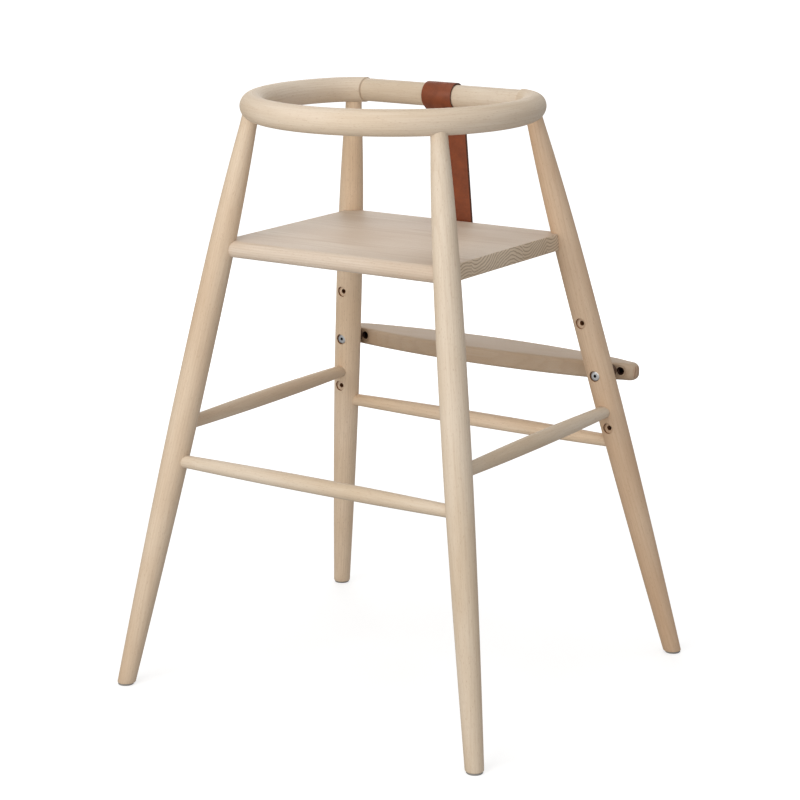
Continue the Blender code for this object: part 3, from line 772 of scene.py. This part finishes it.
def make_pins():
    for name, _ in SIDES:
        low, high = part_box(f"bar_pin_{name}")
        length = high.x - low.x
        end = [(0, PIN_R - PIN_CHAMFER), (PIN_CHAMFER, PIN_R)]
        profile = end + [(length - height, radius) for height, radius in reversed(end)]
        place = along(Vector((low.x, BAR_Y, RING_Z)), Vector((high.x, BAR_Y, RING_Z)))
        pin = smooth(turned(f"dowel_pin_{name}", profile, place, sides=SMALL_ROUND))
        stand_for(pin, f"bar_pin_{name}", "frame", "steel", ZINC)


def seat_block(name, grow):
    """The seat's outline from the side, drawn and extruded across the chair."""
    radius = SEAT_RADIUS + grow
    back = SEAT_HIGH.y - SEAT_RADIUS
    outline = arc((SEAT_NOSE.y, SEAT_NOSE.z), radius, QUARTER, 3 * QUARTER, NOSE_STEPS)
    outline += arc((back, SEAT_NOSE.z), radius, -QUARTER, QUARTER, NOSE_STEPS)
    return drawn_board(name, outline, SEAT_LOW.x - grow, SEAT_HIGH.x + grow, SECTION)


def make_seat():
    """The seat board: bull-nosed in front and behind, with end grain on its two sides."""
    seat = seat_block("seat_board_beech", 0)
    edge_x = SEAT_HIGH.x - TOUCHING
    ease_rim(seat, SEAT_EASE, 3, lambda point: abs(point.x) > edge_x)
    screw_room(seat, SEAT_SCREW_DEPTH)
    smooth(seat)
    for face in seat.data.polygons:
        face.material_index = int(abs(face.normal.x) > FACING)
    lay_grain(seat, lambda point: (point.y + SEAT_HEART_Y, point.z - SEAT_HIGH.z, point.x))
    stand_for(seat, "seat_board", "frame", "wood", BOARD_BEECH, BOARD_END)


def make_stretchers():
    """Four turned stretchers. Returns the sockets that they need: (leg, start, end) of each."""
    sockets = []
    swell = STRETCHER_MIDDLE_R - STRETCHER_END_R
    for number, name in enumerate(("front", "rear", "left", "right")):
        height = middle(f"stretcher_{name}").z
        if name in ENDS:
            legs = [(name, "right"), (name, "left")]
        else:
            legs = [("front", name), ("rear", name)]
        one, other = (leg_point(*leg, height) for leg in legs)
        past = (other - one).normalized() * STRETCHER_PAST_AXIS
        start, stop = one - past, other + past
        length = (stop - start).length
        plain = STRETCHER_PAST_AXIS + LEG_BELLY_R + STRETCHER_SHOULDER
        profile = [(0, STRETCHER_END_R)]
        for step in range(STRETCHER_STEPS + 1):
            share = step / STRETCHER_STEPS
            radius = STRETCHER_END_R + swell * (1 - (2 * share - 1) ** 2)
            profile.append((plain + (length - 2 * plain) * share, radius))
        profile.append((length, STRETCHER_END_R))
        place = along(start, stop)
        piece = smooth(turned(f"turned_stretcher_{name}", profile, place))
        lay_grain(piece, straight_grain(place, 11 + number))
        stand_for(piece, f"stretcher_{name}", "frame", "wood", STRETCHER_BEECH[name])
        gap = past.normalized() * JOINT_GAP
        sockets += [(leg, start - gap, stop + gap) for leg in legs]
    return sockets


def make_legs(sockets):
    """Four turned legs, hollowed for the ring, the seat and the stretchers."""
    ring_room = bent_rod("ring_room", RING_R + JOINT_GAP)
    seat_room = seat_block("seat_room", JOINT_GAP)
    for number, (leg, (foot, top)) in enumerate(LEGS.items()):
        end, name = leg
        place = along(foot, top)
        stretch = (top - foot).length / RING_Z
        profile = []
        for step in range(LEG_STEPS + 1):
            height = -LEG_SPARE + RING_Z * step / LEG_STEPS
            profile.append((height * stretch, leg_radius(height)))
        piece = turned(f"turned_leg_{end}_{name}", profile, place)
        sole = Vector((0, 0, GLIDE_HEIGHT + JOINT_GAP))
        cut_off(piece, sole, -Z_AXIS, lambda face: True)
        ease_rim(piece, FOOT_CHAMFER, 4, lambda point: point.z < sole.z + TOUCHING)
        cut(piece, ring_room, keep=True)
        cut(piece, seat_room, keep=True)
        for other, start, stop in sockets:
            if other == leg:
                cut(piece, rod("socket", start, stop, STRETCHER_END_R + JOINT_GAP))
        if end == "front":
            for height in bolt_heights(name):
                axis = leg_point(end, name, height)
                bore_holes(piece, axis + Y_AXIS * leg_half_depth(name, height))
            paint_bore_shade(piece, name)
        smooth(piece)
        lay_grain(piece, straight_grain(place, number))
        stand_for(piece, f"leg_{end}_{name}", "frame", "wood", LEG_BEECH[leg], BORE_SHADE_BEECH)
    for cutter in (ring_room, seat_room):
        bpy.data.objects.remove(cutter)


def bore_holes(piece, back):
    """A counterbore for the bolt's head in the back of a leg, and the bolt's hole through it."""
    floor = back - Y_AXIS * COUNTERBORE_DEPTH
    wide = COUNTERBORE_R + HOLE_EASE
    profile = [(0, COUNTERBORE_R), (COUNTERBORE_DEPTH + COUNTERBORE_FLARE_START, COUNTERBORE_R)]
    profile += [(COUNTERBORE_DEPTH + COUNTERBORE_FLARE_END, wide)]
    profile += [(COUNTERBORE_DEPTH + PAST, wide)]
    cut(piece, turned("counterbore", profile, along(floor, back), sides=HOLE_ROUND))
    through = floor - Y_AXIS * (2 * LEG_BELLY_R + PAST)
    cut(piece, rod("bolt_hole", back, through, BOLT_R + BOLT_CLEARANCE, SMALL_ROUND))


def paint_bore_shade(piece, name):
    """Gives the walls of a front leg's drilled holes its second finish, their painted shade."""
    for height in bolt_heights(name):
        axis = leg_point("front", name, height)
        deepest = leg_half_depth(name, height) - HOLE_EASE
        for face in piece.data.polygons:
            off = face.center - axis
            inside = math.hypot(off.x, off.z) < COUNTERBORE_R and abs(off.y) < deepest
            if inside and abs(face.normal.y) < FACING:
                face.material_index = 1


def rear_edge(x):
    """How far back the footrest's rear edge lies at an x."""
    return REST_HIGH.y - REST_BEND + math.sqrt(REST_BEND**2 - x**2)


def pocket_place(side):
    """On the footrest's rear edge at the bolt, with Z into the board and X along the edge."""
    slope = REST_BOLT_X / math.sqrt(REST_BEND**2 - REST_BOLT_X**2)
    run = Vector((1, -side * slope, 0)).normalized()
    turn = Matrix((run, Z_AXIS, run.cross(Z_AXIS))).transposed().to_4x4()
    return Matrix.Translation((side * REST_BOLT_X, rear_edge(REST_BOLT_X), INSERT_Z)) @ turn


def footrest_outline():
    """Two shallow arcs and two small end arcs. Also gives the end arcs' centre in X and in Y."""
    half_length, half_depth = REST_HIGH.x, (REST_HIGH.y - REST_LOW.y) / 2
    middle_y = REST_HIGH.y - half_depth
    end_r = 2 * REST_BEND * half_depth - half_length**2 - half_depth**2
    end_r /= 2 * (REST_BEND - half_length)
    end_x = half_length - end_r
    meet = math.atan2(REST_BEND - half_depth, end_x)
    bend_centre = (0, middle_y + half_depth - REST_BEND)
    rear = arc(bend_centre, REST_BEND, math.pi - meet, meet, FOOTREST_ARC_STEPS)
    left_end = arc((end_x, middle_y), end_r, meet, -meet, FOOTREST_END_STEPS)
    half = rear + left_end[1:-1]
    return half + [(-x, 2 * middle_y - y) for x, y in half], end_x, middle_y


def make_footrest():
    """The footrest board, with a pocket and three threaded inserts at each end, and its spacers."""
    outline, end_x, middle_y = footrest_outline()
    board = drawn_board("footrest_board_beech", outline, REST_LOW.z, REST_HIGH.z)
    round_over(board, end_x)
    end = POCKET_HEIGHT / 2
    straight = POCKET_LENGTH / 2 - end
    slot = arc((straight, 0), end, -QUARTER, QUARTER, POCKET_STEPS)
    slot += arc((-straight, 0), end, QUARTER, 3 * QUARTER, POCKET_STEPS)
    for name, side in SIDES:
        cut(board, drawn_board("pocket", slot, -PAST, POCKET_DEPTH, pocket_place(side)))
        for where in INSERTS:
            low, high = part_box(f"footrest_insert_{name}_{where}")
            radius = (high.x - low.x) / 2
            face = Vector(((low.x + high.x) / 2, high.y + PAST, INSERT_Z))
            bottom = Vector((face.x, low.y - INSERT_HOLE_SPARE, INSERT_Z))
            cut(board, rod("insert_hole", face, bottom, radius + JOINT_GAP, HOLE_ROUND))
            make_insert(name, where, low, high, radius)
        make_spacer(name, side)
    smooth(board, 40)

    def to_grain(point):
        return point.y - middle_y + FOOTREST_HEART_Y, point.z - REST_HIGH.z, point.x

    lay_grain(board, to_grain)
    for face in board.data.polygons:
        at_end = abs(face.center.x) > end_x and abs(face.normal.x) > END_FACING
        face.material_index = int(at_end)
    stand_for(board, "footrest_board", "footrest", "wood", REST_SHADE_BEECH, REST_END)


def round_over(board, end_x):
    """Rounds the footrest's edges, more and more towards its ends."""
    weights = board.data.attributes.new("bevel_weight_edge", "FLOAT", "EDGE")
    least = FOOTREST_EDGE_R / FOOTREST_END_EDGE_R
    for edge, weight in zip(board.data.edges, weights.data):
        one, other = (board.data.vertices[at].co for at in edge.vertices)
        if abs(one.z - other.z) < TOUCHING:
            share = (abs(one.x + other.x) / 2 - end_x + FOOTREST_END_RUN) / FOOTREST_END_RUN
            share = min(max(share, 0), 1)
            weight.value = least + (1 - least) * share * share * (3 - 2 * share)
    step = board.modifiers.new("Rounded edges", "BEVEL")
    step.width = FOOTREST_END_EDGE_R
    step.segments = FOOTREST_EDGE_STEPS
    step.limit_method = "WEIGHT"
    step.use_clamp_overlap = False
    apply_modifiers(board)


def make_insert(name, where, low, high, radius):
    """A threaded steel insert. Its thread is closed grooves, which look the same as a helix."""
    start = Vector(((low.x + high.x) / 2, high.y, INSERT_Z))
    length = high.y - low.y
    bore = BOLT_R + BOLT_CLEARANCE
    profile = [(INSERT_EDGE, radius), (0, radius - INSERT_EDGE)]
    profile += [(0, bore + INSERT_FUNNEL), (INSERT_LEAD, bore)]
    step = INSERT_LEAD + THREAD_PITCH / 2
    while step < length - THREAD_PITCH:
        profile.append((step, bore + THREAD_DEPTH * INSERT_THREAD_SHARE))
        profile.append((step + THREAD_PITCH / 2, bore))
        step += THREAD_PITCH
    profile += [(length, bore), (length, radius)]
    place = along(start, start - Y_AXIS)
    piece = turned(f"threaded_insert_{name}_{where}", profile, place, True, SMALL_ROUND)
    smooth(piece)
    stand_for(piece, f"footrest_insert_{name}_{where}", "footrest", "insert", BLACK_STEEL)


def make_spacer(name, side):
    """A moulded washer between leg and footrest: hollowed to the leg, slanted to the pocket."""
    axis = leg_point("front", name, INSERT_Z)
    place = pocket_place(side)
    bore = BOLT_R + BOLT_CLEARANCE
    length = axis.y - place.translation.y + PAST
    profile = [(0, SPACER_R), (length, SPACER_R), (length, bore), (0, bore)]
    spacer = turned(f"spacer_{name}", profile, along(axis, axis - Y_AXIS), hollow=True)
    foot, top = LEGS["front", name]
    stretch = (top - foot).length / RING_Z
    heights = [INSERT_Z + SPACER_ROOM_STEP * step for step in range(-4, 5)]
    room = [(height * stretch, leg_radius(height) + STRAP_GAP) for height in heights]
    cut(spacer, turned("leg_room", room, along(foot, top)))
    reach = POCKET_LENGTH
    square = [(-reach, -reach), (reach, -reach), (reach, reach), (-reach, reach)]
    cut(spacer, drawn_board("pocket_floor", square, POCKET_DEPTH - JOINT_GAP, 2 * PAST, place))
    bevel(spacer, SPACER_EDGE, 2, 50)
    smooth(spacer)
    # its brown finish is painted shade between leg and footrest
    stand_for(spacer, f"footrest_spacer_{name}", "frame", "spacer", SPACER_SHADE_PLASTIC)


def make_bolts():
    """A flat-headed hexagon-socket bolt. Its thread is drawn as closed grooves."""
    corner = BOLT_HEX_ACROSS / 2 / math.cos(math.pi / 6)
    for name, _ in SIDES:
        node = f"footrest_bolt_{name}"
        low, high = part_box(node)
        x = (low.x + high.x) / 2
        length = high.y - low.y
        profile = [(height, BOLT_HEAD_R - less) for height, less in BOLT_HEAD_DOME]
        profile += [(BOLT_HEAD_THICKNESS, BOLT_HEAD_R), (BOLT_HEAD_THICKNESS, BOLT_R)]
        step = length - THREADED
        while step < length - THREAD_PITCH:
            profile += [(step, BOLT_R), (step + THREAD_PITCH / 2, BOLT_R - THREAD_DEPTH)]
            step += THREAD_PITCH
        profile.append((length - THREAD_PITCH * BOLT_TIP_SHARE, BOLT_R))
        profile.append((length, BOLT_R - THREAD_DEPTH))
        start = Vector((x, high.y, INSERT_Z))
        place = along(start, start - Y_AXIS)
        bolt = turned(f"hex_socket_bolt_{name}", profile, place, sides=SMALL_ROUND)
        floor = start - Y_AXIS * BOLT_HEX_DEPTH
        cut(bolt, rod("hexagon", start + Y_AXIS * PAST, floor, corner, 6))
        smooth(bolt)
        # the socket's faces get the dark steel: painted shade in the recess
        for face in bolt.data.polygons:
            inside = math.hypot(face.center.x - x, face.center.z - INSERT_Z) < corner
            in_socket_shade = inside and floor.y - TOUCHING < face.center.y < start.y
            face.material_index = int(in_socket_shade)
        stand_for(bolt, node, node, "steel", ZINC, SOCKET_SHADE_STEEL)


def make_glides():
    """A round plastic glide under each foot, modelled once and copied."""
    profile = [(height, GLIDE_R - less) for height, less in GLIDE_EDGE]
    first = smooth(turned("glide_pattern", profile, Matrix.Identity(4), sides=HOLE_ROUND))
    first.data.materials.append(GLIDE_PLASTIC)
    for end, name in LEGS:
        piece = first.copy()
        piece.data = first.data.copy()
        piece.name = f"moulded_glide_{end}_{name}"
        bpy.context.scene.collection.objects.link(piece)
        put(piece, Matrix.Translation(LEGS[end, name][0]))
        stand_for(piece, f"foot_glide_{end}_{name}", "frame", "glide")
    bpy.data.objects.remove(first)


def strap_path():
    """The middle of the leather, in the YZ plane: up from under the seat, over the bar, down and
    back under."""
    nose, bar = Vector((SEAT_NOSE.y, SEAT_NOSE.z)), Vector((BAR_Y, RING_Z))
    nose_r = SEAT_RADIUS + STRAP_GAP
    bar_r = BAR_R + STRAP_BAR_GAP
    run = bar - nose
    lean = math.atan2(run.y, run.x) + math.acos((nose_r + LAYER - bar_r) / run.length)
    leave = lean + 2 * math.acos(bar_r / math.hypot(bar_r, STRAP_JOIN_DROP)) - math.tau
    front = Vector((math.cos(lean), math.sin(lean)))
    back = Vector((math.cos(leave), math.sin(leave)))
    inner, outer, loop = nose_r + LAYER / 2, nose_r + LAYER * 1.5, bar_r + LAYER / 2
    # the rear layer turns into the front one round a soft bend
    front_offset = nose.dot(front) + inner - STRAP_JOIN_R
    bend = crossing(front, front_offset, back, bar.dot(back) + loop + STRAP_JOIN_R)
    down = 3 * QUARTER
    tail_y = nose.x + STRAP_TAIL
    points = [(tail_y, nose.y - inner), *arc(nose, inner, down, lean, NOSE_STEPS)]
    points += arc(bend, STRAP_JOIN_R, lean, leave + math.pi, STRAP_JOIN_STEPS)
    points += arc(bar, loop, leave, lean, 2 * NOSE_STEPS)
    points += [*arc(nose, outer, lean, down, NOSE_STEPS), (tail_y, nose.y - outer)]
    return points


def crossing(normal, offset, other_normal, other_offset):
    """Where two lines in a plane meet, each given by its normal and how far off it is."""
    across = normal.cross(other_normal)
    x = (offset * other_normal.y - other_offset * normal.y) / across
    return x, (other_offset * normal.x - offset * other_normal.x) / across


def make_strap():
    """The leather strap: its path drawn across, given its thickness, with painted edges."""
    points = [Vector((-STRAP_WIDTH / 2, y, z)) for y, z in strap_path()]
    strap = drawn_line("leather_strap", points)
    draw_to((STRAP_WIDTH, 0, 0))
    close_up()
    wall = strap.modifiers.new("Leather", "SOLIDIFY")
    wall.thickness = LEATHER_THICKNESS
    wall.offset = 0
    wall.use_even_offset = True
    wall.material_offset_rim = 1
    strap.data.materials.append(COGNAC)
    strap.data.materials.append(LEATHER_EDGE)
    apply_modifiers(strap)
    bevel(strap, STRAP_EDGE, 3, 60)
    screw_room(strap, PAST)
    smooth(strap, 40)
    stand_for(strap, "safety_strap", "frame", "leather")


def make_screws():
    """Two pan-headed cross-recessed screws through the leather, under the seat."""
    arm, half, head = SCREW_CROSS_ARM, SCREW_CROSS_HALF, SCREW_HEAD_THICKNESS
    quarter = [(arm, -half), (arm, half), (half, half)]
    cross = list(quarter)
    for _ in range(3):
        quarter = [(-y, x) for x, y in quarter]
        cross += quarter
    for name, _ in SIDES:
        node = f"strap_screw_{name}"
        place = Matrix.Translation(screw_foot(name))
        low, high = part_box(node)
        length = high.z - low.z
        profile = [(head * height, SCREW_HEAD_R * share) for height, share in SCREW_HEAD_DOME]
        profile.append((head, SCREW_R))
        step = head + THREAD_PITCH
        while step < length - SCREW_PLAIN_END:
            profile += [(step, SCREW_R * SCREW_CORE_SHARE), (step + THREAD_PITCH / 2, SCREW_R)]
            step += THREAD_PITCH
        profile.append((length, SCREW_POINT_R))
        screw = turned(f"pan_head_screw_{name}", profile, place, sides=SMALL_ROUND)
        cut(screw, drawn_board("cross", cross, -PAST, SCREW_CROSS_DEPTH, place))
        smooth(screw)
        stand_for(screw, node, "frame", "steel", ZINC)


make_ring()
make_bar()
make_pins()
make_seat()
make_legs(make_stretchers())
make_footrest()
make_bolts()
make_glides()
make_strap()
make_screws()


# ---- Floor, light and camera


def soft_light(name, place, aim, size, power, tint):
    """A square softbox turned towards what it lights."""
    deselect()
    bpy.ops.object.light_add(type="AREA", location=place)
    lamp = bpy.context.object
    lamp.name = name
    lamp.rotation_euler = (aim - place).to_track_quat("-Z", "Y").to_euler()
    lamp.data.shape = "SQUARE"
    lamp.data.size = size
    lamp.data.energy = power
    lamp.data.color = paint(tint)[:3]


def make_floor():
    """A seamless pale floor: it shows white with soft shadows, and throws back little light."""
    deselect()
    bpy.ops.mesh.primitive_plane_add(size=60, location=(0, 0, 0))
    floor = bpy.context.object
    floor.name = "studio_floor"
    made, tree, shader = new_finish("white_studio_floor")
    shader.inputs["Base Color"].default_value = paint("#B4B4B4")
    shader.inputs["Roughness"].default_value = 0.9
    shader.inputs["Emission Color"].default_value = paint("#FFFFFF")
    seen = add(tree, "ShaderNodeLightPath").outputs["Is Camera Ray"]
    place = add(tree, "ShaderNodeTexCoord").outputs["Object"]
    away = add(tree, "ShaderNodeVectorMath", {0: place}, operation="LENGTH").outputs["Value"]
    # the glow grows from under the chair to 2.5 m away
    glow = {0: away, 1: 0.3, 2: 2.5, 3: FLOOR_GLOW_NEAR, 4: FLOOR_GLOW_FAR}
    glow = add(tree, "ShaderNodeMapRange", glow, interpolation_type="SMOOTHSTEP").outputs[0]
    glow = add(tree, "ShaderNodeMath", {0: glow, 1: seen}, operation="MULTIPLY").outputs[0]
    tree.links.new(glow, shader.inputs["Emission Strength"])
    floor.data.materials.append(made)


def make_room():
    """A white room that shows white behind the chair and lights it more weakly."""
    world = bpy.data.worlds.new("studio")
    bpy.context.scene.world = world
    world.use_nodes = True
    tree = world.node_tree
    seen = add(tree, "ShaderNodeLightPath").outputs["Is Camera Ray"]
    strength = add(tree, "ShaderNodeMapRange", {0: seen, 3: ROOM_LIGHT, 4: 1.0}).outputs[0]
    tree.nodes["Background"].inputs["Color"].default_value = paint("#FFFFFF")
    tree.links.new(strength, tree.nodes["Background"].inputs["Strength"])


def make_camera():
    place = AIM + CAMERA_DISTANCE * (
        math.cos(CAMERA_ELEVATION) * OUT + math.sin(CAMERA_ELEVATION) * Z_AXIS
    )
    bpy.ops.object.camera_add(location=place)
    camera = bpy.context.object
    camera.rotation_euler = (AIM - place).to_track_quat("-Z", "Y").to_euler()
    camera.data.lens = 107.2
    camera.data.sensor_width = 36
    camera.data.dof.use_dof = False
    bpy.context.scene.camera = camera
    bpy.context.scene.view_settings.view_transform = "Standard"


ROOM_LIGHT = 0.41
FLOOR_GLOW_NEAR = 0.66
FLOOR_GLOW_FAR = 0.95
AIM = Vector((-0.0082, 0.019, 0.3776))
CAMERA_AZIMUTH = math.radians(213.46)
CAMERA_ELEVATION = math.radians(14.11)
CAMERA_DISTANCE = 3.114
# Level directions: from the chair to the camera, and to the camera's left
OUT = Vector((math.sin(CAMERA_AZIMUTH), -math.cos(CAMERA_AZIMUTH), 0))
LEFT = Z_AXIS.cross(-OUT)

make_floor()
make_camera()
make_room()
key_place = AIM + 1.3 * LEFT + 1.65 * OUT + 0.95 * Z_AXIS
soft_light("key_softbox", key_place, AIM + 0.4 * Z_AXIS, 1.9, 35, "#FFFCF8")
soft_light("top_softbox", AIM + 2.9 * Z_AXIS, AIM, 2.0, 20, "#FFFFFF")
fill_place = AIM - 1.4 * LEFT + 2.2 * OUT + 0.35 * Z_AXIS
soft_light("front_fill", fill_place, AIM, 1.8, 12, "#F8F9FF")
soft_light("far_fill", AIM - 2.6 * OUT + 0.9 * Z_AXIS, AIM, 1.8, 14, "#FFFFFF")
